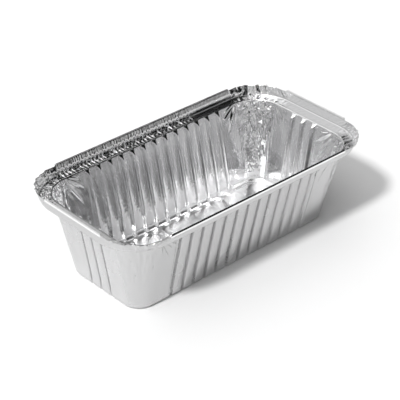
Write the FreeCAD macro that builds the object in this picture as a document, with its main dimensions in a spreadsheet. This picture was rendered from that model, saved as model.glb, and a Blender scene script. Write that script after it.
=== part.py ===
# An aluminium foil loaf tray, pressed and folded from one thin sheet.
# The sheet is what lies between two forms that are drawn from the same sizes: an outer form,
# and an inner form one sheet thickness inside it. Both get the tapered walls, the flutes, the
# corner pleats, the floor panels and the ledge. The hems are then folded on along the straight
# runs of the upstand.
# Frame: millimetres, origin at the bottom centre, +X along the tray, +Z up.
import FreeCAD, Part
import Sketcher
import math
import os
from FreeCAD import Placement, Rotation, Vector

SIZES = (
    ("sheet", 0.3, "thickness of the sheet"),
    ("base_length", 167.8, "floor outline, before its heel is rounded"),
    ("base_width", 67.6, "floor outline, before its heel is rounded"),
    ("base_corner", 12.5, "corner radius of the floor outline"),
    ("heel", 3.5, "radius between the floor and the walls"),
    ("heel_steps", 4, "bands that the heel is drawn with"),
    ("mouth_length", 188.0, "inside edge of the ledge"),
    ("mouth_width", 93.4, "inside edge of the ledge"),
    ("mouth_corner", 20.0, "corner radius at the mouth"),
    ("mouth_level", 57.0, "height of the ledge"),
    ("corner_facets", 6, "flat facets in each corner of the walls and the rim"),
    ("ledge_end", 9.7, "width of the ledge at the short ends"),
    ("ledge_side", 6.4, "width of the ledge along the long sides"),
    ("fold_corner", 29.0, "corner radius where the ledge turns up"),
    ("upstand", 7.0, "height of the single sheet above the ledge"),
    ("lean_end", 0.1, "how far the upstand leans out at the short ends"),
    ("lean_side", 2.0, "how far the upstand leans out along the long sides"),
    ("rim_corner", 25.4, "corner radius at the top, where the corners flare"),
    ("corner_drop", 0.6, "how far the corners' edge lies below the upstand's"),
    ("hem_gap", 0.6, "gap inside a hem's fold"),
    ("hem_leg", 1.4, "height of a hem's outer leg"),
    ("hem_run_side", 148.8, "length of the hem along a long side"),
    ("hem_run_end", 53.4, "length of the hem along a short end"),
    ("flute_pitch", 9.375, "spacing of the flutes"),
    ("flutes_side", 13, "flutes in a long side"),
    ("flutes_end", 3, "flutes in a short end"),
    ("flute_depth", 2.0, "depth of a flute"),
    ("flute_mouth", 2.8, "width of a flute at the wall's face"),
    ("flute_crest", 0.8, "width of a flute's blunt bottom"),
    ("head_height", 5.0, "height of the wider head of a flute below the ledge"),
    ("head_mouth", 5.6, "width of a flute's head at the wall's face"),
    ("ramp_height", 2.4, "height of the ramp that closes a flute below the ledge"),
    ("pleat_depth", 0.7, "depth of a corner pleat at the mouth"),
    ("pleat_mouth", 2.2, "width of a pleat at the wall's face"),
    ("pleat_crest", 0.4, "width of a pleat's blunt bottom"),
    ("pleat_foot", 20.0, "height at which the pleats have faded"),
    ("panels", 5, "full panels raised in the floor"),
    ("panel_pitch", 25.5, "spacing of the panels"),
    ("panel_gap", 4.5, "channel between two panels"),
    ("panel_width", 60.0, "width of the panels across the tray"),
    ("panel_end", 13.5, "length of the panel at each end of the floor"),
    ("panel_corner", 6.0, "corner radius of a panel"),
    ("panel_facets", 3, "flat facets in a panel's corner"),
    ("panel_raise", 2.0, "height of the panels above the floor"),
    ("overcut", 0.2, "how far a cutting form stands out of what it cuts"),
)

doc = FreeCAD.newDocument("foil_tray")


def spreadsheet(rows):
    """The driving sizes, one row each: name, value and what it is."""
    sheet = doc.addObject("Spreadsheet::Sheet", "sizes")
    for number, (name, value, meaning) in enumerate(rows, start=1):
        sheet.set("A%d" % number, name)
        sheet.set("B%d" % number, str(value))
        sheet.set("C%d" % number, meaning)
        sheet.setAlias("B%d" % number, name)
    doc.recompute()
    return sheet


sizes = spreadsheet(SIZES)


def number(expression):
    """The value that an expression on the sheet has now."""
    value = sizes.evalExpression(expression)
    return float(getattr(value, "Value", value))


def at(level, low, high):
    """A size of the wall at a level, from its values at the floor and at the mouth."""
    return "(%s + (%s - %s) * (%s) / sizes.mouth_level)" % (low, high, low, level)


def wall_x(level):
    return at(level, "sizes.base_length / 2", "sizes.mouth_length / 2")


def wall_y(level):
    return at(level, "sizes.base_width / 2", "sizes.mouth_width / 2")


def wall_corner(level):
    return at(level, "sizes.base_corner", "sizes.mouth_corner")


def origin_plane(body, role):
    """One of the body's own origin planes or axes."""
    return next(item for item in body.Origin.OriginFeatures if item.Role == role)


def bind(sketch, kind, *arguments):
    """Add a dimension whose value follows an expression, given last."""
    expression = arguments[-1]
    index = sketch.addConstraint(Sketcher.Constraint(kind, *arguments[:-1], number(expression)))
    sketch.setExpression("Constraints[%d]" % index, expression)


def outline(body, name, level, half_length, half_width, corner, facets):
    """A level rectangle with faceted round corners, centred on the vertical axis.

    The points of one quarter are bound to the sizes and the others mirror them.
    """
    sketch = body.newObject("Sketcher::SketchObject", name)
    sketch.AttachmentSupport = (origin_plane(body, "XY_Plane"), [""])
    sketch.MapMode = "FlatFace"
    sketch.setExpression("AttachmentOffset.Base.z", level)
    steps = int(number(facets))
    bounds = []
    for step in range(steps + 1):
        angle = "90 deg * %d / %s" % (step, facets)
        bounds.append(("%s + (%s) * (cos(%s) - 1)" % (half_length, corner, angle),
                       "%s + (%s) * (sin(%s) - 1)" % (half_width, corner, angle)))
    quarter = [Vector(number(x), number(y), 0) for x, y in bounds]
    points = quarter + [Vector(-p.x, p.y, 0) for p in reversed(quarter)]
    points += [Vector(-p.x, -p.y, 0) for p in quarter] + [Vector(p.x, -p.y, 0) for p in reversed(quarter)]
    count = len(points)
    sketch.addGeometry([Part.LineSegment(points[index], points[(index + 1) % count])
                        for index in range(count)], False)
    rules = [Sketcher.Constraint("Coincident", index, 2, (index + 1) % count, 1)
             for index in range(count)]
    for step in range(steps + 1):
        across, opposite, along = 2 * steps + 1 - step, 2 * steps + 2 + step, count - 1 - step
        rules.append(Sketcher.Constraint("Symmetric", step, 1, across, 1, -2))
        rules.append(Sketcher.Constraint("Symmetric", step, 1, opposite, 1, -1, 1))
        rules.append(Sketcher.Constraint("Symmetric", step, 1, along, 1, -1))
    sketch.addConstraint(rules)
    for step, (x, y) in enumerate(bounds):
        bind(sketch, "DistanceX", -1, 1, step, 1, x)
        bind(sketch, "DistanceY", -1, 1, step, 1, y)
    return sketch


def wedge(name, place, spans):
    """A wedge that cuts a groove: a block whose two rectangles lie at two depths.

    place is x, y, level, turn and tilt: the wedge's own Y points into the tray and its own Z up along
    the wall. spans gives the expressions for each rectangle's depth, half width, bottom and top.
    """
    feature = doc.addObject("Part::Wedge", name)
    feature.setExpression("Placement", (
        "create(<<placement>>; create(<<vector>>; %s; %s; %s); "
        "create(<<rotation>>; create(<<vector>>; 0; 0; 1); %s) * "
        "create(<<rotation>>; create(<<vector>>; 1; 0; 0); %s))") % place)
    for names, span in zip((("Ymin", "Xmin", "Xmax", "Zmin", "Zmax"),
                            ("Ymax", "X2min", "X2max", "Z2min", "Z2max")), spans):
        depth, half_width, bottom, top = span
        for label, expression in zip(names, (depth, "-(%s)" % half_width, half_width, bottom, top)):
            feature.setExpression(label, expression)
    return feature


def groove_widths(skin, mouth, crest, depth):
    """Half widths of a groove's V at its crest and where it stands out of the wall.

    The inner form's V is wider, so that the sheet keeps its thickness on the V's slopes.
    """
    slope = "((%s - %s) / 2 / %s)" % (mouth, crest, depth)
    spread = "%s * (sqrt(1 + %s ^ 2) - %s)" % (skin, slope, slope)
    return ("(%s / 2 + %s)" % (crest, spread),
            "(%s / 2 + %s + %s * sizes.overcut)" % (mouth, spread, slope))


def loft(body, kind, name, sections):
    """A ruled loft through the sections, added to the body or cut out of it."""
    feature = body.newObject("PartDesign::%sLoft" % kind, name)
    feature.Profile = sections[0]
    feature.Sections = sections[1:]
    feature.Ruled = True
    feature.Refine = False
    return feature


def mirrored(body, name, plane):
    feature = body.newObject("PartDesign::Mirrored", name)
    feature.MirrorPlane = (origin_plane(body, plane), [""])
    return feature


def row(body, name, axis, pitch, count):
    """A straight pattern whose pitch and count follow the sheet."""
    feature = body.newObject("PartDesign::LinearPattern", name)
    feature.Direction = (origin_plane(body, axis), [""])
    feature.setExpression("Length", "(%s) * ((%s) - 1)" % (pitch, count))
    feature.setExpression("Occurrences", count)
    return feature


def repeat(body, name, originals, steps):
    """Copies of features by patterns and mirrors that follow one another."""
    feature = body.newObject("PartDesign::MultiTransform", name)
    feature.Originals = originals
    feature.Transformations = steps
    feature.Refine = False
    body.Tip = feature


def heel_outline(body, skin, index):
    """The outline of the rounded heel at one of its levels, from the floor to the wall."""
    wall_slope = "((sizes.mouth_width - sizes.base_width) / 2 / sizes.mouth_level)"
    swing = "(90 deg - atan(%s)) * %d / sizes.heel_steps" % (wall_slope, index)
    radius = "(sizes.heel - %s)" % skin
    level = "sizes.heel - %s * cos(%s)" % (radius, swing)

    def reach(wall, low, high):
        slope = "((%s - %s) / 2 / sizes.mouth_level)" % (high, low)
        return "(%s - sizes.heel * sqrt(1 + %s ^ 2) + %s * sin(%s))" % (
            wall("sizes.heel"), slope, radius, swing)

    half_length = reach(wall_x, "sizes.base_length", "sizes.mouth_length")
    half_width = reach(wall_y, "sizes.base_width", "sizes.mouth_width")
    corner = "%s - (%s - %s)" % (wall_corner(level), wall_y(level), half_width)
    return outline(body, "%s_heel_%d" % (body.Name, index), level, half_length, half_width,
                   corner, "sizes.corner_facets")


def walls(body, skin):
    """The tapered block, its heel rounded between the floor and the walls."""
    sections = [heel_outline(body, skin, index) for index in range(int(number("sizes.heel_steps")) + 1)]
    level = "sizes.mouth_level"
    sections.append(outline(
        body, "%s_mouth" % body.Name, level, "%s - %s" % (wall_x(level), skin),
        "%s - %s" % (wall_y(level), skin), "%s - %s" % (wall_corner(level), skin),
        "sizes.corner_facets"))
    loft(body, "Additive", "%s_walls" % body.Name, sections)


def ledge_and_upstand(body, skin, underside):
    """The wider block above the ledge; underside is the level at which it starts."""
    half_length = "sizes.mouth_length / 2 + sizes.ledge_end - %s" % skin
    half_width = "sizes.mouth_width / 2 + sizes.ledge_side - %s" % skin
    fold = outline(body, "%s_fold" % body.Name, underside, half_length, half_width,
                   "sizes.fold_corner - %s" % skin, "sizes.corner_facets")
    rim = outline(body, "%s_rim" % body.Name, "sizes.mouth_level + sizes.upstand",
                  half_length + " + sizes.lean_end", half_width + " + sizes.lean_side",
                  "sizes.rim_corner - %s" % skin, "sizes.corner_facets")
    loft(body, "Additive", "%s_upstand" % body.Name, [fold, rim])


def flute(name, skin, underside, place, slope):
    """One flute from below the floor to the ledge, with a wider head that a ramp closes."""
    top = "(%s) * sqrt(1 + %s ^ 2)" % (underside, slope)
    ramp = "%s - sizes.ramp_height" % top
    made = []
    for part, mouth, low, crest_low in (
            ("groove", "sizes.flute_mouth", "-sizes.heel", "-sizes.heel"),
            ("head", "sizes.head_mouth", "%s - sizes.head_height - 2 * %s" % (top, skin),
             "%s - sizes.flute_crest - 2 * %s" % (ramp, skin))):
        crest, mouth = groove_widths(skin, mouth, "sizes.flute_crest", "sizes.flute_depth")
        made.append(wedge("%s_%s" % (name, part), place,
                          (("-sizes.overcut", mouth, low, top),
                           ("sizes.flute_depth", crest, crest_low, ramp))))
    return made


def slope_of(low, high):
    """How far a wall leans out for each millimetre of height."""
    return "((%s - %s) / 2 / sizes.mouth_level)" % (high, low)


def flutes(name, skin, underside):
    """The cutting wedges of every flute, centred along the four walls."""
    made = []
    for wall, count, reach, other, turns in (
            ("side", "sizes.flutes_side", "width", "x", (0, 180)),
            ("end", "sizes.flutes_end", "length", "y", (90, 270))):
        slope = slope_of("sizes.base_" + reach, "sizes.mouth_" + reach)
        out = "(sizes.base_%s / 2 - %s)" % (reach, skin)
        for turn in turns:
            out_sign = -1 if turn in (0, 270) else 1
            for index in range(int(number(count))):
                along = "sizes.flute_pitch * (%d - (%s - 1) / 2)" % (index, count)
                across = "%d * %s" % (out_sign, out)
                x, y = (along, across) if other == "x" else (across, along)
                made += flute("%s_%s_%d_flute_%d" % (name, wall, turn, index), skin, underside,
                              (x, y, "0", "%d deg" % turn, "atan(%s)" % slope), slope)
    return made


def pleats(name, skin, underside):
    """The cutting wedges of the corner pleats, one in each facet, which deepen towards the mouth."""
    made = []
    level = "(%s - sizes.overcut)" % underside
    height = "(%s - sizes.pleat_foot)" % level
    apothem = "cos(45 deg / sizes.corner_facets)"
    centre_x = "(%s - %s)" % (wall_x(level), wall_corner(level))
    centre_y = "(%s - %s)" % (wall_y(level), wall_corner(level))
    radius = "(%s * %s - %s)" % (wall_corner(level), apothem, skin)
    lean_x = slope_of("(sizes.base_length - 2 * sizes.base_corner)",
                      "(sizes.mouth_length - 2 * sizes.mouth_corner)")
    lean_y = slope_of("(sizes.base_width - 2 * sizes.base_corner)",
                      "(sizes.mouth_width - 2 * sizes.mouth_corner)")
    lean_r = slope_of("2 * sizes.base_corner", "2 * sizes.mouth_corner")
    crest, mouth = groove_widths(skin, "sizes.pleat_mouth", "sizes.pleat_crest", "sizes.pleat_depth")
    facets = int(number("sizes.corner_facets"))
    for quarter, (sign_x, sign_y) in enumerate(((1, 1), (-1, 1), (-1, -1), (1, -1))):
        for index in range(facets):
            angle = "(90 deg * (%d + (%d + 0.5) / sizes.corner_facets))" % (quarter, index)
            x = "%d * %s + %s * cos(%s)" % (sign_x, centre_x, radius, angle)
            y = "%d * %s + %s * sin(%s)" % (sign_y, centre_y, radius, angle)
            lean = "%d * %s * cos(%s) + %d * %s * sin(%s) + %s * %s - sizes.pleat_depth / %s" % (
                sign_x, lean_x, angle, sign_y, lean_y, angle, lean_r, apothem, height)
            made.append(wedge("%s_pleat_%d_%d" % (name, quarter, index),
                              (x, y, level, "90 deg + %s" % angle, "atan(%s)" % lean),
                              (("-2 * sizes.overcut", mouth, "-%s" % height, "0"),
                               ("sizes.pleat_depth", crest, "-%s" % height, "0"))))
    return made


def panel_cut(body, name, skin, middle, length):
    """One floor panel pressed up from below, with sloping edges as high as they are wide."""
    sections = []
    for edge, level, inset in (("low", skin, "0"), ("high", "%s + sizes.panel_raise" % skin,
                                                   "sizes.panel_raise")):
        sketch = outline(
            body, "%s_%s" % (name, edge), level, "(%s) / 2 - %s + %s" % (length, inset, skin),
            "sizes.panel_width / 2 - %s + %s" % (inset, skin),
            "sizes.panel_corner - %s + %s" % (inset, skin), "sizes.panel_facets")
        sketch.setExpression("AttachmentOffset.Base.x", middle)
        sections.append(sketch)
    return loft(body, "Subtractive", name, sections)


def panels(body, skin):
    """The row of panels across the floor and a shorter one at each end."""
    first = "-sizes.panel_pitch * (sizes.panels - 1) / 2"
    length = "sizes.panel_pitch - sizes.panel_gap"
    full = panel_cut(body, "%s_panel" % body.Name, skin, first, length)
    repeat(body, "%s_panels" % body.Name, [full],
           [row(body, "%s_panel_row" % body.Name, "X_Axis", "sizes.panel_pitch", "sizes.panels")])
    outer = "sizes.panel_pitch * sizes.panels / 2 + sizes.panel_gap / 2 + sizes.panel_end / 2"
    end = panel_cut(body, "%s_end_panel" % body.Name, skin, outer, "sizes.panel_end")
    repeat(body, "%s_end_panels" % body.Name, [end],
           [mirrored(body, "%s_panel_mirror" % body.Name, "YZ_Plane")])


def form(name, skin, underside):
    """A solid form of the tray: skin is how far it lies inside the outer faces."""
    body = doc.addObject("PartDesign::Body", name + "_body")
    walls(body, skin)
    ledge_and_upstand(body, skin, underside)
    panels(body, skin)
    grooves = doc.addObject("Part::MultiFuse", name + "_grooves")
    grooves.Shapes = flutes(name, skin, underside) + pleats(name, skin, underside)
    grooved = doc.addObject("Part::Cut", name)
    grooved.Base = body
    grooved.Tool = grooves
    return grooved


def hem(name, plane, run, reach, lean):
    """A hem folded outwards along one straight run of the upstand.

    Its section is a hook: up with the sheet, over, and down outside it. The sketch's own Y
    follows the lean of the upstand, and its origin is where the sheet's outer face ends.
    """
    body = doc.addObject("PartDesign::Body", name)
    sketch = body.newObject("Sketcher::SketchObject", name + "_section")
    sketch.AttachmentSupport = (origin_plane(body, plane), [""])
    sketch.MapMode = "FlatFace"
    top = "sizes.mouth_level + sizes.upstand"
    angle = "-atan((%s) / sizes.upstand)" % lean
    sketch.AttachmentOffset = Placement(Vector(number(reach), number(top), 0),
                                        Rotation(Vector(0, 0, 1), number(angle)))
    sketch.setExpression("AttachmentOffset.Base.x", reach)
    sketch.setExpression("AttachmentOffset.Base.y", top)
    sketch.setExpression("AttachmentOffset.Rotation.Angle", angle)
    inside, outside = "-sizes.sheet", "sizes.hem_gap + sizes.sheet"
    foot = "-sizes.hem_leg"
    lines = (((inside, foot), (inside, "0")), ((outside, "0"), (outside, foot)),
             ((outside, foot), ("sizes.hem_gap", foot)), (("sizes.hem_gap", foot), ("sizes.hem_gap", "0")),
             (("0", "0"), ("0", foot)), (("0", foot), (inside, foot)))
    for index, (start, end) in enumerate(lines):
        ends = [Vector(number(x), number(y), 0) for x, y in (start, end)]
        sketch.addGeometry(Part.LineSegment(*ends), False)
        for place, (x, y) in ((1, start), (2, end)):
            bind(sketch, "DistanceX", -1, 1, index, place, x)
            bind(sketch, "DistanceY", -1, 1, index, place, y)
    middle = Vector(number("sizes.hem_gap / 2"), 0, 0)
    for radius, first, last in (("sizes.hem_gap / 2 + sizes.sheet", 0, 1), ("sizes.hem_gap / 2", 4, 3)):
        circle = Part.Circle(middle, Vector(0, 0, 1), number(radius))
        arc = sketch.addGeometry(Part.ArcOfCircle(circle, 0, math.pi), False)
        left_end, right_end = (2, 1) if first == 0 else (1, 2)
        sketch.addConstraint(Sketcher.Constraint("Coincident", arc, 2, first, left_end))
        sketch.addConstraint(Sketcher.Constraint("Coincident", arc, 1, last, right_end))
        bind(sketch, "DistanceY", -1, 1, arc, 3, "0")
    pad = body.newObject("PartDesign::Pad", name + "_run")
    pad.Profile = sketch
    pad.SideType = "Symmetric"
    pad.setExpression("Length", run)
    opposite = doc.addObject("Part::Mirroring", name + "_opposite")
    opposite.Source = body
    opposite.Normal = Vector(0, 1, 0) if plane == "YZ_Plane" else Vector(1, 0, 0)
    return [body, opposite]


def corner_trims():
    """Blocks that take the corners' edge down below the hems."""
    made = []
    run_x, run_y = "sizes.hem_run_side / 2", "sizes.hem_run_end / 2"
    for index, (side_x, side_y) in enumerate(((1, 1), (-1, 1), (-1, -1), (1, -1))):
        block = doc.addObject("Part::Box", "corner_trim_%d" % index)
        block.setExpression("Length", "sizes.mouth_length / 2 + sizes.ledge_end * 2 - %s" % run_x)
        block.setExpression("Width", "sizes.mouth_width / 2 + sizes.ledge_side * 2 - %s" % run_y)
        block.setExpression("Height", "sizes.corner_drop + sizes.overcut")
        across = "%s * %d" % (run_x, side_x) + (" - Length / 1 mm" if side_x < 0 else "")
        along = "%s * %d" % (run_y, side_y) + (" - Width / 1 mm" if side_y < 0 else "")
        block.setExpression("Placement.Base.x", across.replace("Length", block.Name + ".Length"))
        block.setExpression("Placement.Base.y", along.replace("Width", block.Name + ".Width"))
        block.setExpression("Placement.Base.z",
                            "sizes.mouth_level + sizes.upstand - sizes.corner_drop")
        made.append(block)
    return made


def check(name):
    """Stop if any object failed, or the finished part isn't one sound solid."""
    doc.recompute()
    for item in doc.Objects:
        if "Invalid" in item.State or "Error" in item.State:
            raise RuntimeError("%s failed: %s" % (item.Name, item.State))
        shape = getattr(item, "Shape", None)
        if shape is not None and not shape.isNull() and not shape.isValid():
            raise RuntimeError("%s has a faulty shape" % item.Name)
    shape = doc.getObject(name).Shape
    if shape.isNull() or not shape.isValid() or len(shape.Solids) != 1:
        raise RuntimeError("%s isn't one solid" % name)
    return shape


outer_form = form("outer_form", "0", "sizes.mouth_level - sizes.sheet")
inner_form = form("inner_form", "sizes.sheet", "sizes.mouth_level")

pressed = doc.addObject("Part::Cut", "pressed")
pressed.Base = outer_form
pressed.Tool = inner_form

trims = doc.addObject("Part::MultiFuse", "trims")
trims.Shapes = corner_trims()
trimmed = doc.addObject("Part::Cut", "trimmed")
trimmed.Base = pressed
trimmed.Tool = trims

side_reach = "sizes.mouth_width / 2 + sizes.ledge_side + sizes.lean_side"
end_reach = "sizes.mouth_length / 2 + sizes.ledge_end + sizes.lean_end"
hems = hem("side_hem", "YZ_Plane", "sizes.hem_run_side", side_reach, "sizes.lean_side")
hems += hem("end_hem", "XZ_Plane", "sizes.hem_run_end", end_reach, "sizes.lean_end")

tray = doc.addObject("Part::MultiFuse", "tray")
tray.Label = "tray"
tray.Shapes = [trimmed] + hems

solid = check("tray")
box = solid.BoundBox
print("tray %.2f x %.2f x %.2f mm, volume %.1f mm3, area %.1f mm2, %d faces"
      % (box.XLength, box.YLength, box.ZLength, solid.Volume, solid.Area, len(solid.Faces)))
os.makedirs("parts", exist_ok=True)
solid.exportStep("parts/tray.step")
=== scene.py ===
# %% [markdown]
# An aluminium foil loaf tray. The real one is a single sheet of thin foil: a press draws the
# cup and its flutes, the spare foil gathers into wrinkles at the four corners, and the edge is
# turned up and hemmed along the straight runs. It could be sculpted by hand, but each of its
# forms follows from a few sizes of the press tool, so this lesson works it out from those. The
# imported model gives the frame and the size, and the lesson adds the drawn and crumpled surface.

# %% Load the frame
import math
import bmesh
import bpy
import numpy as np
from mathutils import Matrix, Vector


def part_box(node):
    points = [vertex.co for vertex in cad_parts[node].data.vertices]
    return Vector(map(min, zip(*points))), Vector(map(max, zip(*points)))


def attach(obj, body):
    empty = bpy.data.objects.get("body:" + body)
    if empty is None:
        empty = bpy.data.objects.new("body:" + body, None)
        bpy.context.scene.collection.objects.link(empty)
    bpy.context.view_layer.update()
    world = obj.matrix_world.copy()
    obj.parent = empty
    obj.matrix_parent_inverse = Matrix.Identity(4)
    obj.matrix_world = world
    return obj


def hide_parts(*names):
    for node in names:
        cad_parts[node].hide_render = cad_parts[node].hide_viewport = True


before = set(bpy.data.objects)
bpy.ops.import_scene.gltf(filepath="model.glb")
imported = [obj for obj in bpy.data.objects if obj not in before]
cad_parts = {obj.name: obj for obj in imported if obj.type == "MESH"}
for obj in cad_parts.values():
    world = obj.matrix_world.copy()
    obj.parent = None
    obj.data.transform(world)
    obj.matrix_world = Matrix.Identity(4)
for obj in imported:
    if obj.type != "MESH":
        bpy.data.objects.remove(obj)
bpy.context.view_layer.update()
print("nodes in the frame", sorted(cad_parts))

# %% [markdown]
# The sizes below are in millimetres, as a tool maker would give them. Each outline of the tray
# is a rectangle with round corners, given by its half length, half width and corner radius.
# The outlines could be typed in whole, but the rim's size comes from the frame, so that the
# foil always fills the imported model's box once its hems are on.

# %% Outlines of the tray
MM = 0.001
HEM_OUT = 1.08
HEM_UP = 0.65
UPSTAND = 7.0
tray_high = np.array(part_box("tray")[1]) / MM
TOP = tray_high[2] - HEM_UP
LEDGE_LEVEL = TOP - UPSTAND
RIM = np.array([tray_high[0] - HEM_OUT, tray_high[1] - HEM_OUT, 25.4])
FOLD = np.array([RIM[0] - 0.1, RIM[1] - 2.0, 29.0])
MOUTH = np.array([94.0, 46.7, 20.0])
BASE = np.array([83.9, 33.8, 12.5])
print("ledge at", round(LEDGE_LEVEL, 2), "mm, rim at", round(TOP, 2), "mm")

# %% [markdown]
# A crease in foil is a sharp line between flat facets. Smooth noise would make it look like
# cloth, and a cloth simulation would be slow and never the same twice. This noise blends
# random heights in straight lines over a turned grid, and a sum of a few turns gives facets of
# every shape. Its random table is seeded, so each run gives one result.

# %% Creased noise
TABLE_SIDE = 256
TABLE_COUNT = 8
LAYER_SHIFT = (97.3, 41.7)
tables = np.random.RandomState(11).uniform(-1, 1, (TABLE_COUNT, TABLE_SIDE, TABLE_SIDE))


def creased(across, up, cell, tall, turn=0.0, layer=0):
    """Facets about cell wide and tall high, from -1 to 1."""
    c, s = math.cos(turn), math.sin(turn)
    u = (across * c + up * s) / cell + LAYER_SHIFT[0] * layer
    v = (up * c - across * s) / tall + LAYER_SHIFT[1] * layer
    i, j = np.floor(u).astype(int), np.floor(v).astype(int)
    fu, fv = u - i, v - j
    table = tables[layer % TABLE_COUNT]
    i0, i1 = i % TABLE_SIDE, (i + 1) % TABLE_SIDE
    j0, j1 = j % TABLE_SIDE, (j + 1) % TABLE_SIDE
    low = table[i0, j0] * (1 - fu) + table[i1, j0] * fu
    high = table[i0, j1] * (1 - fu) + table[i1, j1] * fu
    return low * (1 - fv) + high * fv


print("random tables", tables.shape)

# %% Facets and fades
FACET_TURNS = (0.4, 1.3, 2.3)
FACET_SUM = 1.8


def facets(across, up, cell, layer=0):
    """Crumpled facets of about one size, with no main direction."""
    total = sum(creased(across, up, cell, cell, turn, layer + number)
                for number, turn in enumerate(FACET_TURNS))
    return total / FACET_SUM


def ease(x, low, high):
    """A smooth step from 0 at low to 1 at high."""
    t = np.clip((x - low) / (high - low), 0, 1)
    return t * t * (3 - 2 * t)


print("a fade halfway", float(ease(0.5, 0, 1)))

# %% [markdown]
# A flute, a pleat and a wrinkle each run up the tray without a break. Separate meshes for the
# flutes and the corners would leave seams between them, so every level of the tray has the
# same number of points round it, called stations. The stations lie closest together at a
# flute's edges, where the foil bends most.

# %% Stations along a straight run
FLUTE_PITCH = 9.375
FLUTES = {"long": 13, "short": 3}
HALF_ROW = {kind: FLUTE_PITCH * count / 2 for kind, count in FLUTES.items()}
RIDGE_OFFSETS = np.array([0, 0.3, 0.45, 0.75, 1.1, 1.4, 1.55, 2.3, 3.1, 3.9])
END_STEPS = {"long": 34, "short": 28}
ROW_SHARE = 0.8


def run_fractions(kind):
    """Fractions from -1 to 1 along a run: its row of flutes, and a plain end on either side."""
    one = np.concatenate([-RIDGE_OFFSETS[:0:-1], RIDGE_OFFSETS, [FLUTE_PITCH / 2]])
    ridges = (np.arange(FLUTES[kind]) - (FLUTES[kind] - 1) / 2) * FLUTE_PITCH
    inner = np.concatenate([[-HALF_ROW[kind]]] + [ridge + one for ridge in ridges])
    outer = np.linspace(ROW_SHARE, 1, END_STEPS[kind] + 1)[1:]
    return np.concatenate([-outer[::-1], inner / HALF_ROW[kind] * ROW_SHARE, outer])


for kind in FLUTES:
    print(kind, "run", len(run_fractions(kind)), "stations")

# %% Stations round the tray
CORNER_STEPS = 84
QUARTERS = ((1, 1), (-1, 1), (-1, -1), (1, -1))


def stations():
    """Columns: fraction along x, fraction along y, facing cosine, facing sine, corner share."""
    rows = []
    for quarter, (sx, sy) in enumerate(QUARTERS):
        turns = np.linspace(0, 90, CORNER_STEPS + 1)[:-1]
        angles = np.radians(turns + 90 * quarter)
        rows.append(np.stack([0 * angles + sx, 0 * angles + sy, np.cos(angles), np.sin(angles),
                              np.sin(np.radians(2 * turns))], 1))
        kind = "long" if quarter % 2 == 0 else "short"
        along = run_fractions(kind)[:-1]
        angle = math.radians(90 * quarter + 90)
        sign = sx if kind == "long" else sy
        still = 0 * along
        ends = (-sign * along, still + sy) if kind == "long" else (still + sx, -sign * along)
        rows.append(np.stack([*ends, still + math.cos(angle), still + math.sin(angle), still], 1))
    table = np.concatenate(rows)
    start = np.argmin(np.abs(table[:, 1]) + np.abs(table[:, 0] - 1))
    return np.concatenate([table[start:], table[:start + 1]])


STATIONS = stations()
print(len(STATIONS) - 1, "stations round the tray")

# %% Place the stations on an outline
ROW_REACH = 0.82


def spread(fraction, half, kind):
    """Where a fraction of a straight run lies: flutes keep their place while the ends stretch."""
    row = np.minimum(HALF_ROW[kind], ROW_REACH * half)
    size = np.abs(fraction)
    inner = size / ROW_SHARE * row
    outer = row + (size - ROW_SHARE) / (1 - ROW_SHARE) * (half - row)
    return np.sign(fraction) * np.where(size <= ROW_SHARE, inner, outer)


def place(half_length, half_width, corner, level):
    """Points round the tray, ring by ring: each size is a column with one number for a ring."""
    fx, fy, c, s, _ = STATIONS.T
    half_length, half_width, corner, level = (
        np.reshape(size, (-1, 1)) for size in (half_length, half_width, corner, level))
    x = spread(fx, half_length - corner, "long") + corner * c
    y = spread(fy, half_width - corner, "short") + corner * s
    return np.stack([x, y, level + 0 * x], -1)


mouth_ring = place(*MOUTH, LEDGE_LEVEL)[0]
length_round = np.concatenate([[0], np.cumsum(np.linalg.norm(np.diff(mouth_ring, axis=0), axis=1))])
print("mouth is", round(length_round[-1], 1), "mm round")

# %% [markdown]
# Each piece of the foil is a sheet with no thickness yet. A grid operator makes it flat, with
# a row of points for each ring and a column for each station, and the points then move to
# their places. Extruding ring after ring would give the same mesh with far more steps.

# %% One piece of the sheet
MERGE = 0.002


def sheet_piece(name, points):
    """A piece of the sheet: a flat grid is made and its points are moved to their places."""
    rows, columns = points.shape[:2]
    bm = bmesh.new()
    bmesh.ops.create_grid(bm, x_segments=columns - 1, y_segments=rows - 1, size=1)
    bm.verts.ensure_lookup_table()
    for vertex in bm.verts:
        column = round((vertex.co.x + 1) / 2 * (columns - 1))
        row = round((vertex.co.y + 1) / 2 * (rows - 1))
        vertex.co = points[row, column] * MM
    bmesh.ops.remove_doubles(bm, verts=bm.verts, dist=MERGE * MM)
    mesh = bpy.data.meshes.new(name)
    bm.to_mesh(mesh)
    bm.free()
    piece = bpy.data.objects.new(name, mesh)
    bpy.context.scene.collection.objects.link(piece)
    mesh.polygons.foreach_set("use_smooth", [True] * len(mesh.polygons))
    print(name, len(mesh.polygons), "faces")
    return piece


# %% [markdown]
# The walls lean out from the floor and meet it in a round heel. They could be lofted between
# two outlines, but the heel needs its own rings, and so does the band under the ledge where
# the flutes end, so the wall's section is written out ring by ring.

# %% Section of the heel and the wall
HEEL = 3.5
HEEL_RINGS = 9
RING_STEP = 1.25
HEAD_BAND = 7
HEAD_RINGS = 18


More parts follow.
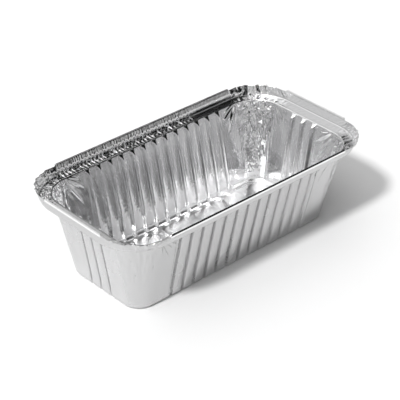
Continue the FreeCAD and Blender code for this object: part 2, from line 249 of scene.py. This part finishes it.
def wall_profile():
    """Half length, half width, corner radius and level of each ring, from the floor up."""
    slope = (MOUTH[1] - BASE[1]) / LEDGE_LEVEL
    lean = math.sqrt(1 + slope ** 2)
    turns = np.linspace(0, math.pi / 2 - math.atan(slope), HEEL_RINGS)
    heel_level = HEEL - HEEL * np.cos(turns)
    inset = HEEL * lean - HEEL * np.sin(turns) - slope * HEEL
    heel = np.stack([BASE[0] - inset, BASE[1] - inset, BASE[2] - inset, heel_level], 1)
    low = np.arange(heel_level[-1], LEDGE_LEVEL - HEAD_BAND, RING_STEP)[1:]
    high = np.linspace(LEDGE_LEVEL - HEAD_BAND, LEDGE_LEVEL, HEAD_RINGS)
    levels = np.concatenate([low, high])
    share = levels / LEDGE_LEVEL
    wall = np.stack([BASE[n] + (MOUTH[n] - BASE[n]) * share for n in range(3)] + [levels], 1)
    return np.concatenate([heel, wall])


profile = wall_profile()
walls = place(*profile.T)
level = walls[..., 2]
print(len(profile), "rings in the heel and the walls")

# %% Which stations lie on which run
FACES_STRAIGHT = 0.999
fx, fy, face_cos, face_sin, corner_share = STATIONS.T
on_long = (np.abs(face_sin) > FACES_STRAIGHT) & (np.abs(fx) < 1)
on_short = (np.abs(face_cos) > FACES_STRAIGHT) & (np.abs(fy) < 1)
faces_far = on_long & (face_sin > 0)
print(on_long.sum(), "stations on the long runs,", on_short.sum(), "on the short ones")

# %% [markdown]
# A flute is a narrow ridge pressed into the tray, and seen from outside it is a groove between
# two wide pads, which bow out a little. Under the ledge each ridge widens and ends in a
# three-cornered ramp, which leaves a round arch at the top of every pad. Cutting grooves with
# a boolean would leave long thin faces, so the wall's own points are pushed in instead.

# %% Flutes
FLUTE_DEPTH = 2.6
FLUTE_HALF = 1.4
CREST_HALF = 0.45
HEAD_HALF = 2.7
HEAD_HEIGHT = 5.5
RAMP_HEIGHT = 2.3
FOOT_SHARE = 0.75
FOOT_FADE = (2.0, 8.0)
FLOOR_FADE = (0.0, 1.2)
PAD_BOW = 0.85
BOW_TOP_FADE = (0, 9)
BOW_FOOT_FADE = (2, 12)


def flute_relief(along, level, kind):
    """How far the foil is pressed inwards at a place on a straight run."""
    offset = np.abs((along + HALF_ROW[kind]) % FLUTE_PITCH - FLUTE_PITCH / 2)
    below = np.clip(LEDGE_LEVEL - level, 0, None)
    opening = np.clip(1 - below / HEAD_HEIGHT, 0, 1)
    half = FLUTE_HALF + (HEAD_HALF - FLUTE_HALF) * (1 - np.sqrt(1 - opening ** 2))
    flank = np.clip((half - offset) / (half - CREST_HALF), 0, 1)
    ramp = below / RAMP_HEIGHT
    foot = FOOT_SHARE + (1 - FOOT_SHARE) * ease(level, *FOOT_FADE)
    ridge = FLUTE_DEPTH * np.minimum(flank, ramp) * foot * ease(level, *FLOOR_FADE)
    bow = PAD_BOW * (1 - offset / (FLUTE_PITCH / 2)) ** 2
    bow = bow * ease(below, *BOW_TOP_FADE) * ease(level, *BOW_FOOT_FADE)
    return np.where(np.abs(along) < HALF_ROW[kind], ridge + bow, 0)


long_flutes = flute_relief(walls[..., 0], level, "long")
short_flutes = flute_relief(walls[..., 1], level, "short")
flutes = np.where(on_long, long_flutes, np.where(on_short, short_flutes, 0))
print("flutes pressed in by", round(float(flutes.max()), 2), "mm")

# %% [markdown]
# The blank has more edge than a drawn corner has room for, so the foil folds into fine upright
# pleats that open out towards the mouth, and crumples between them. Folding each pleat as a
# real double layer would take very many faces that nobody sees, so the pleats are creased
# relief: tall narrow facets for the folds, and small even ones for the crumple.

# %% Pleats and crumple of the corners
CORNER_EDGE = 0.35
CORNER_RISE = (4, 50)
around = length_round + 0 * level
pleats = creased(around, level, 1.3, 5, 0.03, 3) * 0.55
pleats = pleats + creased(around, level, 2.4, 22, -0.05, 4) * 0.35
crumple = facets(around, level, 1.7, 0) * 0.36
gathers = corner_share ** CORNER_EDGE * ease(level, *CORNER_RISE) * (pleats + crumple)
print("corner gathers reach", round(float(np.abs(gathers).max()), 2), "mm")

# %% [markdown]
# From the top of each corner a few long creases fan out into the plain end of the wall, because
# the foil is pulled sideways there. Each crease is a straight line from the corner, given by
# its lean from the upright in degrees, its reach and its height: a negative height is a valley.
# The lines are bent a little by slow noise, since ruled lines would look machined.

# %% Fans of creases
FAN = ((7, 25, 0.7), (19, 19, -0.8), (31, 27, 0.85), (42, 22, -0.8), (53, 26, 0.9), (65, 17, 0.7))
FAN_ORIGIN = 2.5
FAN_HALF = 0.95
FAN_WAVER = 0.5
FAN_SHARE = {"long": 1.0, "short": 0.5}
run_end = np.where(np.abs(face_sin) > np.abs(face_cos), MOUTH[0] - MOUTH[2], MOUTH[1] - MOUTH[2])
from_corner = run_end - np.where(on_long, np.abs(walls[..., 0]), np.abs(walls[..., 1])) + FAN_ORIGIN
below_ledge = LEDGE_LEVEL - level + FAN_ORIGIN
fan = 0 * level
for number, (lean_angle, reach, height) in enumerate(FAN):
    turned = math.radians(lean_angle)
    sideways = from_corner * math.cos(turned) - below_ledge * math.sin(turned)
    sideways = sideways + FAN_WAVER * creased(around, level, 7, 7, 0, number)
    onward = from_corner * math.sin(turned) + below_ledge * math.cos(turned)
    crest = np.clip(1 - np.abs(sideways) / FAN_HALF, 0, 1)
    fan = fan + height * crest * ease(onward, 4, 7) * ease(reach - onward, 0, 7)
fan = fan * (FAN_SHARE["long"] * on_long + FAN_SHARE["short"] * on_short)
print(len(FAN), "creases at each end of a run")

# %% [markdown]
# Handling leaves marks: a few short upright dents on one corner, and a slow unevenness on the
# plain foil. Each dent is given by the direction in which the foil faces there in degrees, its
# middle's level, its half height and its depth. A texture would do for so small a mark, but
# only a real dent stays in the mesh itself.

# %% Dents and unevenness
DENTS = ((191, 40.5, 6, 0.6), (219, 30, 5, 0.6), (236, 50, 5, 0.45), (259, 38, 8, 0.55),
         (205, 51, 4, 0.4))
DENT_HALF = 2.4
turned_by = np.degrees(np.arctan2(face_sin, face_cos)) % 360
dents = 0 * level
for angle, middle, half_height, depth in DENTS:
    beside = np.clip(1 - np.abs(turned_by - angle) / DENT_HALF, 0, 1)
    dents = dents + depth * beside * np.clip(1 - np.abs(level - middle) / half_height, 0, 1)
past_long_row = ease(np.abs(walls[..., 0]), 59, 66)
past_short_row = ease(np.abs(walls[..., 1]), 14, 19)
plain = np.where(on_long, past_long_row, np.where(on_short, past_short_row, 1))
uneven = facets(around, level, 9, 2) * 0.12 * plain
print(len(DENTS), "dents, up to", round(float(dents.max()), 2), "mm deep")

# %% Press the forms into the walls
TOP_FADE = (0, 1.2)
FOOT_LINE_FADE = (0, 1.5)
inward = flutes + gathers + fan + uneven + dents
closed = np.minimum(ease(LEDGE_LEVEL - level, *TOP_FADE), ease(level, *FOOT_LINE_FADE))
inward = np.where(flutes > 0, inward, inward * closed)
walls[..., 0] -= inward * face_cos
walls[..., 1] -= inward * face_sin
walls[:, -1] = walls[:, 0]
print("walls pressed between", round(float(inward.min()), 2), "and", round(float(inward.max()), 2), "mm")

# %% [markdown]
# The wall is one sheet all the way round, but as one mesh it would be too heavy for the
# library. It is cut at the ends of the long rows of flutes, where the foil is plain, and the
# two fluted sections keep only every third ring of their straight lower part.

# %% Four sections of the wall
THIN_STEP = 3
cuts = np.flatnonzero(on_long & np.isclose(np.abs(fx), ROW_SHARE))
last = len(fx) - 1
SECTIONS = {"far": np.arange(cuts[0], cuts[1] + 1), "left": np.arange(cuts[1], cuts[2] + 1),
            "near": np.arange(cuts[2], cuts[3] + 1),
            "right": np.concatenate([np.arange(cuts[3], last), np.arange(cuts[0] + 1)])}
every_ring = np.arange(len(profile))
few_rings = np.concatenate([every_ring[:HEEL_RINGS], every_ring[HEEL_RINGS + 1:-HEAD_RINGS:THIN_STEP],
                            every_ring[-HEAD_RINGS:]])
print("sections", {side: len(columns) for side, columns in SECTIONS.items()})

# %% [markdown]
# The floor is stiffened by low panels pressed up from below, with a shorter one at each end. A
# flat grid would not meet the heel's points, so the floor is drawn as rings that shrink from
# the heel to the middle, and its edge joins the walls point for point. The panels are a height
# that follows from how far a point lies inside a rounded rectangle.

# %% Panels of the floor
PANEL_PITCH = 25.5
PANEL_HALF = np.array([10.5, 30.0])
END_PANEL = np.array([72.75, 6.75])
END_PANEL_FROM = 2.5
PANEL_CORNER = 6.0
PANEL_RAISE = 0.6
PANEL_SLOPE = 2.2


def panel_height(x, y):
    """The height of the floor's panels, from their distance to a rounded rectangle's edge."""
    middle = np.round(x / PANEL_PITCH) * PANEL_PITCH
    end = np.abs(x) > END_PANEL_FROM * PANEL_PITCH
    half = np.where(end, END_PANEL[1], PANEL_HALF[0])
    middle = np.where(end, np.sign(x) * END_PANEL[0], middle)
    dx = np.abs(x - middle) - half + PANEL_CORNER
    dy = np.abs(y) - PANEL_HALF[1] + PANEL_CORNER
    outside = np.hypot(np.maximum(dx, 0), np.maximum(dy, 0)) + np.minimum(np.maximum(dx, dy), 0)
    return PANEL_RAISE * ease(PANEL_CORNER - outside, 0, PANEL_SLOPE)


print("panel height at the middle", round(float(panel_height(0, 0)), 2), "mm")

# %% Rings of the floor
FLOOR_RINGS = 44
FLOOR_WAVE = 0.12
floor_edge = profile[0]
shrink = np.linspace(floor_edge[1], 0, FLOOR_RINGS)
rings = np.stack([floor_edge[0] - shrink, floor_edge[1] - shrink,
                  np.maximum(floor_edge[2] - shrink, 0), 0 * shrink], 1)
floor = place(*rings.T)
floor[..., 2] += panel_height(floor[..., 0], floor[..., 1])
floor_facets = np.abs(facets(floor[..., 0], floor[..., 1], 14, 1))
floor[..., 2] += floor_facets * FLOOR_WAVE * ease(shrink, 30, 20)[:, None]
floor[-1] = walls[0]
print(len(rings), "rings in the floor")

# %% [markdown]
# Round the mouth lies a flat ledge, and outside it a sharp fold and a single upright sheet. On
# the long sides the upright stays near the fold's line before it leans out. It is one strip
# with the ledge, so that the fold between them stays closed when the foil wrinkles.

# %% Ledge and upstand
LEDGE_RINGS = 10
UPSTAND_SHARES = np.concatenate([[0.03, 0.08], np.linspace(0.16, 1, 12)])
LEAN_SHARES = np.interp(UPSTAND_SHARES, [0, 0.43, 0.55, 1], [0, 0.1, 0.2, 1])
ledge_share = np.linspace(0, 1, LEDGE_RINGS)
ledge = [np.append(MOUTH + (FOLD - MOUTH) * share, LEDGE_LEVEL) for share in ledge_share]
upstand = [np.append(FOLD + (RIM - FOLD) * share, LEDGE_LEVEL + UPSTAND * share)
           for share in UPSTAND_SHARES]
rim_profile = np.array(ledge + upstand)
rim = place(*rim_profile.T)
straighter = np.concatenate([0 * ledge_share, LEAN_SHARES - UPSTAND_SHARES])[:, None]
rim[..., 1] += straighter * (RIM[1] - FOLD[1]) * ease(np.abs(face_sin), 0.9, 1.0) * face_sin
print(len(rim_profile), "rings in the ledge and the upstand")

# %% [markdown]
# The rim gathers at the corners as the walls do, and its edge is ragged there and stands lower
# than the hems. Along part of the far side the ledge is wrinkled as well. The same creased
# noise makes these wrinkles: it lifts the ledge and pushes the upright sheet in and out.

# %% Wrinkles of the rim
FAR_WRINKLES = 0.8
LEDGE_WRINKLE = 0.06
RIM_PUSH = 2.0
rim_around = length_round + np.zeros(rim.shape[:2])
on_ledge = np.array([1.0] * len(ledge) + [0.0] * len(upstand))[:, None]
across = np.concatenate([ledge_share, 1 + UPSTAND_SHARES])[:, None]
corner_rim = (corner_share ** 0.4) * np.ones((len(rim_profile), 1))
wrinkle = creased(rim_around, across * UPSTAND, 1.15, 7, 0.05, 6) * 0.48
wrinkle = wrinkle + creased(rim_around, across * UPSTAND, 1.9, 3, 0.25, 7) * 0.08
far_wrinkles = FAR_WRINKLES * faces_far * ease(-rim[..., 0], -35, 20) * ease(across, 0.3, 0.7)
amount = corner_rim + far_wrinkles * 0.8 + LEDGE_WRINKLE
rim[..., 2] += on_ledge * ease(across, 0, 0.25) * wrinkle * amount * ease(1 - across, 0, 0.2)
push = (1 - on_ledge) * wrinkle * corner_rim * RIM_PUSH * ease(across, 1.0, 1.4)
rim[..., 0] += push * face_cos
rim[..., 1] += push * face_sin
print("upstand pushed by up to", round(float(np.abs(push).max()), 2), "mm")

# %% Lower, ragged edge past the hems
HEM_RUN = {"long": 74.4, "short": 26.7}
HEM_STEP_DOWN = 0.9
RAGGED = 0.35
past_long_hem = ease(np.abs(rim[..., 0]) - HEM_RUN["long"], 0.2, 1.4)
past_short_hem = ease(np.abs(rim[..., 1]) - HEM_RUN["short"], 0.2, 1.4)
past_hem = np.where(on_long, past_long_hem, np.where(on_short, past_short_hem, 1))
ragged = RAGGED * creased(length_round, 0 * length_round, 1.7, 5, 0, 2) * corner_share ** 0.5
drop = np.maximum(HEM_STEP_DOWN * past_hem + ragged, 0)
rim[..., 2] -= (1 - on_ledge) * (across - 1) * drop
print("edge drops by up to", round(float(drop.max()), 2), "mm")

# %% [markdown]
# Along the far fold the press leaves a row of small teeth, where the foil of each flute's edges
# is squeezed together: one in line with each ridge and two beside it. A bump could draw them,
# but they are larger than the crinkle and cast small shadows, so they are in the mesh.

# %% Teeth along the far fold
TOOTH_PLACE = 3.1
TOOTH_HALF = 0.75
TOOTH_HEIGHT = 0.65
from_ridge = np.abs((rim[..., 0] + HALF_ROW["long"]) % FLUTE_PITCH - FLUTE_PITCH / 2)
from_tooth = np.minimum(from_ridge, np.abs(from_ridge - TOOTH_PLACE))
tooth = np.clip(1 - from_tooth / TOOTH_HALF, 0, 1)
tooth = TOOTH_HEIGHT * tooth * faces_far * ease(-rim[..., 0], -46, -28)
tooth = tooth * (0.95 + 0.3 * creased(rim_around, 0 * rim_around, 3.1, 5, 0, 3))
rim[..., 2] += on_ledge * tooth * ease(across, 0.3, 0.6) * ease(1 - across, 0, 0.1)
rim[..., 1] -= (1 - on_ledge) * tooth * ease(across, 1.02, 1.1) * ease(1.6 - across, 0, 0.25)
rim[:, -1] = rim[:, 0]
print("teeth up to", round(float(tooth.max()), 2), "mm high")

# %% [markdown]
# Along each straight run the edge is folded over outwards, which hides the raw edge and makes
# it stiff. A bevelled curve would give a closed tube, but a hem is open below, so it is a strip
# of its own: a section of a few points, out and up from the edge, follows the run. The long
# hems are pressed flat at the top and the short ones are round.

# %% Hems
HEM_STEPS = 150
HEM_WAVE = 0.05
HEM_LAP = 0.05
half_turn = np.linspace(0, math.pi, 7)
round_edge = np.stack([0.45 - 0.45 * np.cos(half_turn), 0.5 * np.sin(half_turn)], 1)
hem_sections = {
    "long": np.array([[0.0, 0.0], [0.03, 0.32], [0.14, 0.5], [0.3, 0.5], [0.82, -0.02],
                      [0.95, -0.22], [0.97, -0.8], [0.95, -1.5]]),
    "short": np.concatenate([round_edge, [[0.9, -0.7], [0.9, -1.4]]])}


def hem_points(kind, sign):
    """A strip that follows the folded edge along one straight run."""
    run = np.linspace(-HEM_RUN[kind], HEM_RUN[kind], HEM_STEPS)
    out, up = hem_sections[kind].T
    reach = (RIM[1] if kind == "long" else RIM[0]) + out[:, None] - HEM_LAP
    wave = HEM_WAVE * creased(run, 0 * run, 6, 6, 0, 1)
    across_run = sign * (reach + wave)
    along_run = (-sign if kind == "long" else sign) * run + 0 * across_run
    z = TOP - HEM_LAP + up[:, None] + wave * 0.5
    points = (along_run, across_run) if kind == "long" else (across_run, along_run)
    return np.stack([*points, z + 0 * across_run], -1)


for kind, section in hem_sections.items():
    print(kind, "hem has", len(section), "points in its section")

# %% [markdown]
# Now the sheets become meshes. The floor keeps every second station, because it has only low
# and broad forms, and so its mesh stays as light as the others.

# %% Make the pieces
pieces = []
for side, columns in SECTIONS.items():
    kept_rings = few_rings if side in ("far", "near") else every_ring
    pieces.append(sheet_piece("foil_wall_" + side, walls[np.ix_(kept_rings, columns)]))
floor_columns = np.unique(np.append(np.arange(0, last, 2), last))
pieces.append(sheet_piece("foil_floor", floor[:, floor_columns]))
pieces.append(sheet_piece("foil_rim", rim))
for kind in ("long", "short"):
    for sign, side in ((1, "plus"), (-1, "minus")):
        pieces.append(sheet_piece("hem_%s_%s" % (kind, side), hem_points(kind, sign)))

# %% [markdown]
# A finish is worked out by nodes. Long chains of Math nodes are hard to read, so one small
# class wraps a socket and lets a finish be written as arithmetic, and one function makes every
# other node: its settings come first, and then its sockets take values or links.

# %% Sockets as numbers
class Measure:
    """A number that varies over a surface: arithmetic on it adds Math nodes."""

    def __init__(self, tree, socket):
        self.tree, self.socket = tree, socket

    def math(self, operation, first, second):
        return node(self.tree, "ShaderNodeMath", {"operation": operation}, {0: first, 1: second})

    def __add__(self, other):
        return self.math("ADD", self, other)

    def __sub__(self, other):
        return self.math("SUBTRACT", self, other)

    def __rsub__(self, other):
        return self.math("SUBTRACT", other, self)

    def __mul__(self, other):
        return self.math("MULTIPLY", self, other)

    def __abs__(self):
        return node(self.tree, "ShaderNodeMath", {"operation": "ABSOLUTE"}, {0: self})

    __radd__ = __add__
    __rmul__ = __mul__


def node(tree, kind, settings, values, output=0):
    """Any node: its settings are made first, then its sockets take values or links."""
    made = tree.nodes.new(kind)
    for key, value in settings.items():
        setattr(made, key, value)
    for key, value in values.items():
        if isinstance(value, Measure):
            tree.links.new(value.socket, made.inputs[key])
        else:
            made.inputs[key].default_value = value
    return Measure(tree, made.outputs[output])


# %% [markdown]
# The foil is not the same all over: it is gathered at the corners, drawn hard at the ends of
# the walls, and rubbed on the floor. A painted mask would need a picture, so each of these
# places is a share from 0 to 1 that follows from where a point lies, in metres.

# %% Places on the foil
def share_past(measure, start, end):
    """0 before one place, 1 past another."""
    limits = {"Value": measure, "From Min": start, "From Max": end}
    return node(measure.tree, "ShaderNodeMapRange", {}, limits)


def foil_places(tree):
    """The point itself and its shares of the tray's places."""
    where = node(tree, "ShaderNodeTexCoord", {}, {}, "Object")
    x, y, z = (node(tree, "ShaderNodeSeparateXYZ", {}, {0: where}, axis) for axis in range(3))
    past_end = share_past(abs(y), 0.025, 0.036)
    return {"point": where,
            "corner": share_past(abs(x), 0.073, 0.083) * past_end,
            "plain end": share_past(abs(x), 0.058, 0.066) * past_end,
            "far fold": share_past(y, 0.0465, 0.048) * share_past(x, 0.06, 0.02),
            "rim": share_past(z, 0.0565, 0.058),
            "floor": share_past(z, 0.0045, 0.0025)}


# %% [markdown]
# Even flat foil has a fine crinkle that breaks its reflections up. It is too fine for the
# mesh, so it is a bump: cells with sharp ridges and small waves everywhere, upright streaks
# and sparks where the corners gather, and ribs across the far fold.

# %% Crinkle of the foil
def noise(point, scale, detail):
    """Soft noise at a point, scale waves to the metre."""
    values = {"Vector": point, "Scale": scale, "Detail": detail}
    return node(point.tree, "ShaderNodeTexNoise", {}, values)


def stretched(point, scale):
    """The point with its axes scaled, so that a pattern on it is drawn out."""
    return node(point.tree, "ShaderNodeMapping", {}, {"Vector": point, "Scale": scale})


def cells(point, scale, feature="F1"):
    """The distance to the middle of a cell."""
    return node(point.tree, "ShaderNodeTexVoronoi", {"feature": feature}, {"Vector": point, "Scale": scale})


def crinkle_height(places, gather):
    """The height of the crinkle: gather says how much stronger it is where the foil gathers."""
    point = places["point"]
    streaks = noise(stretched(point, (1, 1, 0.12)), 800.0, 2.0)
    sparks = cells(stretched(point, (1, 1, 0.4)), 900.0)
    ribs = noise(stretched(point, (1, 0.08, 0.08)), 900.0, 1.0)
    gathered = places["corner"] * (streaks + sparks * 0.7) * gather
    gathered = gathered + places["far fold"] * ribs * (gather * 1.5)
    even = cells(point, 620.0, "SMOOTH_F1") * 0.3 + noise(point, 260.0, 4.0) * 0.22
    return even + streaks * 0.25 + gathered


# %% [markdown]
# The foil is rolled two sheets at a time, so the side against the rolls is bright and the
# other one is matt. Both are bare metal: only the roughness and the tone differ. The ends of
# the walls are drawn smooth and so are brighter, and the floor is rubbed to a satin finish.

# %% Foil material
BUMP_DISTANCE = 0.0004
CLOUD_SCALE = 45.0
CLOUD_DEPTH = 0.06
BLUE_CAST = 1.005


def foil_material(name, tone, roughness, crinkle, gather):
    """Foil that is gathered more finely at the corners and on the far long ledge."""
    material = bpy.data.materials.new(name)
    material.use_nodes = True
    tree = material.node_tree
    shader = tree.nodes["Principled BSDF"]
    shader.inputs["Base Color"].default_value = (tone, tone, tone * BLUE_CAST, 1)
    shader.inputs["Metallic"].default_value = 1.0
    places = foil_places(tree)
    height = crinkle_height(places, gather)
    bump = node(tree, "ShaderNodeBump", {},
                {"Strength": crinkle, "Distance": BUMP_DISTANCE, "Height": height})
    tree.links.new(bump.socket, shader.inputs["Normal"])
    satin = places["floor"] * 0.15 - places["rim"] * 0.08 + (roughness - CLOUD_DEPTH / 2)
    drawn = places["plain end"] * (places["rim"] * 0.2 - 0.11)
    rough = noise(places["point"], CLOUD_SCALE, 2.0) * CLOUD_DEPTH + drawn + satin
    tree.links.new(rough.socket, shader.inputs["Roughness"])
    print(name, len(tree.nodes), "nodes")
    return material


matt_side = foil_material("foil_matt_side", 0.6, 0.28, 0.3, 0.8)
bright_side = foil_material("foil_bright_side", 0.94, 0.145, 0.32, 1.7)
# a lighter foil for the long hems; the short hems get the darker matt foil as painted shade
hem_side = foil_material("foil_hem_side", 0.76, 0.2, 0.3, 1.0)

# %% [markdown]
# A modifier gives the sheets the foil's thickness, inwards, with the matt side out and the
# bright side in. Thickening by hand would double every point of the script. The long hems take
# a lighter foil, and the short hems take the walls' darker matt foil as painted shade, which dims
# the bright sky that their round tops reflect. Each piece rides on the tray's one body and stands
# in for its imported node.

# %% Finish the pieces
FOIL = 0.12
for piece in pieces:
    # painted shade: the short hems take the walls' darker matt foil to dim the bright sky in their round
    # tops, while the long hems keep the lighter hem foil
    piece.data.materials.append(hem_side if piece.name.startswith("hem_long") else matt_side)
    piece.data.materials.append(bright_side)
    skin = piece.modifiers.new("foil_thickness", "SOLIDIFY")
    skin.thickness = FOIL * MM
    skin.offset = -1
    skin.material_offset = 1
    skin.material_offset_rim = 1
    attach(piece, "root")
    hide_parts("tray")
print(len(pieces), "pieces finished")

# %% [markdown]
# The tray stands on a plain pale floor, which keeps its shadow. It is one big square without
# gloss, so that nothing but the shadow shows on it.

# %% Floor of the studio
FLOOR_TONE = 0.92
FLOOR_HALF = 4
ground_mesh = bpy.data.meshes.new("studio_floor")
bm = bmesh.new()
bmesh.ops.create_grid(bm, x_segments=1, y_segments=1, size=FLOOR_HALF)
bm.to_mesh(ground_mesh)
bm.free()
ground = bpy.data.objects.new("studio_floor", ground_mesh)
bpy.context.scene.collection.objects.link(ground)
white = bpy.data.materials.new("pale_floor")
white.use_nodes = True
paint = white.node_tree.nodes["Principled BSDF"]
paint.inputs["Base Color"].default_value = (FLOOR_TONE, FLOOR_TONE, FLOOR_TONE, 1)
paint.inputs["Roughness"].default_value = 0.9
paint.inputs["Specular IOR Level"].default_value = 0.0
ground_mesh.materials.append(white)
print("studio floor", 2 * FLOOR_HALF, "m wide")

# %% [markdown]
# The key lamp stands high on the near left and throws a soft-edged shadow to the right. A wide fill
# lamp lifts the near walls. It is kept out of mirror reflections, because a lamp that wide
# shows in the foil as a pale veil.

# %% Lamps
def sun_lamp(name, energy, width, travel):
    """A far lamp, width degrees wide, whose light travels along one direction."""
    light = bpy.data.lights.new(name, "SUN")
    light.energy = energy
    light.angle = math.radians(width)
    lamp = bpy.data.objects.new(name, light)
    bpy.context.scene.collection.objects.link(lamp)
    lamp.rotation_euler = Vector(travel).to_track_quat("-Z", "Y").to_euler()
    print(name, "lamp", energy)
    return lamp


sun_lamp("key", 2.2, 7, (51, 13, -63.4))
fill_lamp = sun_lamp("fill", 0.35, 60, (0.45, 0.5, -0.75))
fill_lamp.visible_glossy = False

# %% [markdown]
# Foil is a mirror, so what it shows is the room. An even room would make it flat and grey:
# this one is bright high on the left, dark on the right, and has a band of glow just above the
# floor. All of it depends on direction alone.

# %% Sky
DARK, BRIGHT = 0.015, 1.08
GLOW = 0.7
world = bpy.data.worlds.new("studio")
bpy.context.scene.world = world
world.use_nodes = True
sky_tree = world.node_tree
background = sky_tree.nodes["Background"]
direction = node(sky_tree, "ShaderNodeTexCoord", {}, {}, "Generated")
side, depth, up = (node(sky_tree, "ShaderNodeSeparateXYZ", {}, {0: direction}, axis)
                   for axis in range(3))
lobe = side * -0.75 + depth * 0.5 + up * 0.05
ramp = node(sky_tree, "ShaderNodeMapRange", {"interpolation_type": "SMOOTHSTEP"},
            {"Value": lobe, "From Min": -0.25, "From Max": 0.12, "To Min": DARK, "To Max": BRIGHT})
glow = node(sky_tree, "ShaderNodeMapRange", {},
            {"Value": up, "From Min": 0.32, "From Max": 0.1, "To Max": GLOW})
overhead = ramp * (up * 1.1 + 0.05)
strength = node(sky_tree, "ShaderNodeMath", {"operation": "MAXIMUM"}, {0: overhead, 1: glow})
sky_tree.links.new(strength.socket, background.inputs["Strength"])
background.inputs["Color"].default_value = (1, 1, 1, 1)
bpy.context.scene.view_settings.view_transform = "Standard"
print("sky from", DARK, "to", BRIGHT)

# %% [markdown]
# The camera looks down along the tray from its near left. Its direction and distance were
# solved from the tray's own straight edges, so the outline lies over the photograph's.

# %% Camera
AZIMUTH, ELEVATION = math.radians(42.27), math.radians(32.21)
LOOK_AT = Vector((-35.4, -38.0, 64.6)) * MM
DISTANCE = 0.9575
forward = Vector((math.sin(AZIMUTH) * math.cos(ELEVATION), math.cos(AZIMUTH) * math.cos(ELEVATION),
                  -math.sin(ELEVATION)))
camera = bpy.data.cameras.new("camera")
camera.lens = 141.9
camera.sensor_width = 36
camera.clip_end = 50
camera_object = bpy.data.objects.new("camera", camera)
camera_object.location = LOOK_AT - forward * DISTANCE
camera_object.rotation_euler = forward.to_track_quat("-Z", "Y").to_euler()
bpy.context.scene.collection.objects.link(camera_object)
bpy.context.scene.camera = camera_object
print("camera", DISTANCE, "m away")
